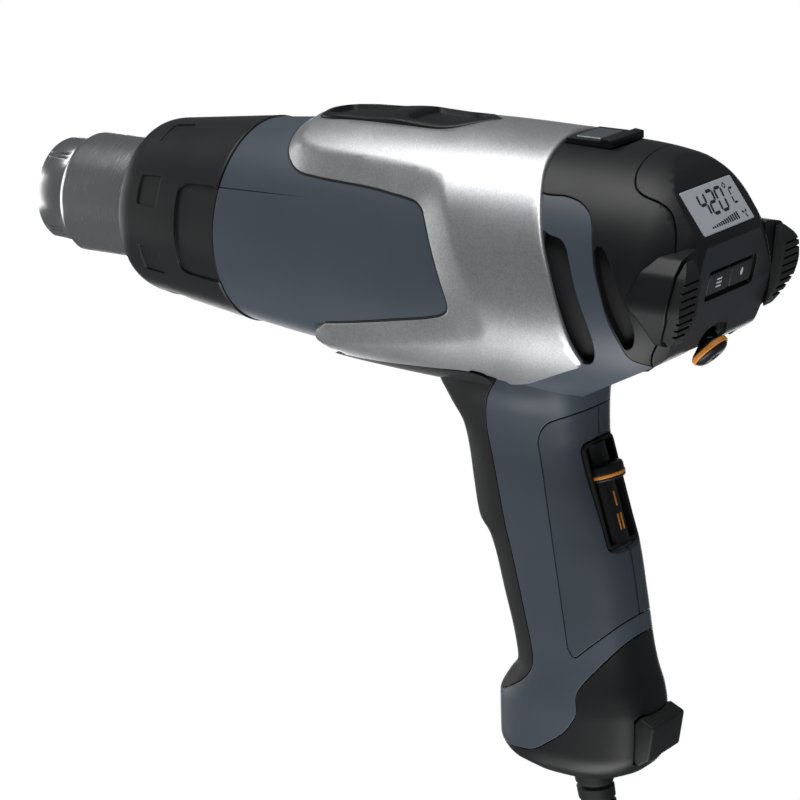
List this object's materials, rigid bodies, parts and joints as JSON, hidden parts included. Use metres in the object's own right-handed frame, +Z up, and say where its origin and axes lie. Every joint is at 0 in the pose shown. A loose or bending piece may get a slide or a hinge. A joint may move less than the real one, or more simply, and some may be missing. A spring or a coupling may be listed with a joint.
{
  "type": "hot-air gun",
  "caption": "Pistol-grip electric hot-air gun with a round steel outlet, a rear display with keys and a joystick, a handle switch, a rear stand and a mains lead.",
  "frame": {"origin": "middle of the gun's footprint on the table it stands on, cord left out, with the gun parked outlet upwards on its two rear pads and the foot of its handle", "axes": "+Z up, +X from the barrel towards the foot of the handle, +Y to the gun's left; the barrel leans 9 degrees from +Z towards +X"},
  "size_m": [0.4345, 0.0818, 0.2516],
  "materials": {
    "brushed_steel": "brushed and polished steel tube",
    "blue_grey_plastic": "satin moulded glass-filled nylon",
    "silver_paint": "satin silver lacquer on plastic",
    "black_plastic": "fine-textured black moulding",
    "black_rubber": "matt soft rubber",
    "orange_plastic": "gloss orange",
    "display_glass": "clear display window",
    "display_cell": "grey reflective liquid crystal cell",
    "ceramic": "bare ceramic",
    "mica": "mica sheet",
    "heating_wire": "oxidised resistance wire",
    "circuit_board": "green lacquered board",
    "motor_steel": "plain steel",
    "filter_mesh": "dark woven filter mesh",
    "pin_metal": "nickel plated"
  },
  "bodies": {
    "gun": {"housing_left": "blue_grey_plastic", "housing_right": "blue_grey_plastic", "silver_saddle": "silver_paint", "top_inlay": "black_plastic", "inlet_cover": "black_plastic", "inlet_filter_left": "filter_mesh", "inlet_filter_right": "filter_mesh", "rear_cap": "black_plastic", "display_window": "display_glass", "display_panel": "display_cell", "display_board": "circuit_board", "joystick_socket": "black_plastic", "stand_arm_left": "black_plastic", "stand_arm_right": "black_plastic", "stand_pad_left": "black_rubber", "stand_pad_right": "black_rubber", "front_grip": "black_rubber", "grip_panel_left": "blue_grey_plastic", "grip_panel_right": "blue_grey_plastic", "handle_base": "black_plastic", "foot_pad": "black_rubber", "switch_track": "black_plastic", "switch_module": "black_plastic", "outlet_nozzle": "brushed_steel", "heat_shield": "motor_steel", "insulating_tube": "mica", "heater_core": "ceramic", "heating_coil": "heating_wire", "thermocouple": "motor_steel", "fan_motor": "motor_steel", "motor_mount": "black_plastic", "control_board": "circuit_board", "terminal_block": "black_plastic", "cord_clamp": "black_plastic", "housing_screw_1": "motor_steel", "housing_screw_2": "motor_steel", "housing_screw_3": "motor_steel", "housing_screw_4": "motor_steel", "cord_boot": "black_rubber", "power_cord": "black_rubber", "power_cord_tail": "black_rubber", "cord_hank": "black_rubber", "cord_tie": "black_plastic", "mains_plug": "black_plastic", "plug_pin_left": "pin_metal", "plug_pin_right": "pin_metal"},
    "fan": {"fan_impeller": "black_plastic", "motor_shaft": "motor_steel"},
    "sleeve": {"protective_sleeve": "black_plastic"},
    "switch_knob": {"switch_slider": "black_plastic", "switch_ring": "orange_plastic"},
    "program_key": {"button_program": "black_plastic"},
    "fan_key": {"button_fan": "black_plastic"},
    "latch": {"filter_latch": "black_plastic", "latch_insert": "silver_paint"},
    "stick_gimbal": {"joystick_gimbal": "motor_steel"},
    "stick": {"joystick_head": "black_plastic", "joystick_ring": "orange_plastic"}
  },
  "joints": [
    {"name": "fan_spin", "type": "hinge", "parent": "gun", "child": "fan", "pos_m": [-0.05816, 0, 0.05188], "axis": [0.1564, 0, 0.9877], "continuous": true},
    {"name": "sleeve_pull", "type": "slide", "parent": "gun", "child": "sleeve", "axis": [0.1564, 0, 0.9877], "range_m": [0, 0.046]},
    {"name": "switch_slide", "type": "slide", "parent": "gun", "child": "switch_knob", "axis": [0.8998, 0, -0.4362], "range_m": [0, 0.016]},
    {"name": "program_key_press", "type": "slide", "parent": "gun", "child": "program_key", "axis": [-0.0645, 0, 0.9979], "range_m": [0, 0.0012], "stiffness_N_per_m": 600},
    {"name": "fan_key_press", "type": "slide", "parent": "gun", "child": "fan_key", "axis": [-0.0645, 0, 0.9979], "range_m": [0, 0.0012], "stiffness_N_per_m": 600},
    {"name": "latch_slide", "type": "slide", "parent": "gun", "child": "latch", "axis": [-0.1564, 0, -0.9877], "range_m": [0, 0.0025], "stiffness_N_per_m": 900},
    {"name": "stick_tilt_up_down", "type": "hinge", "parent": "gun", "child": "stick_gimbal", "pos_m": [-0.05062, 0, 0.01477], "axis": [0, 1, 0], "range_deg": [-7, 7], "stiffness_Nm_per_rad": 0.05},
    {"name": "stick_tilt_side", "type": "hinge", "parent": "stick_gimbal", "child": "stick", "pos_m": [-0.05062, 0, 0.01477], "axis": [0.8213, 0, 0.5704], "range_deg": [-7, 7], "stiffness_Nm_per_rad": 0.05}
  ]
}
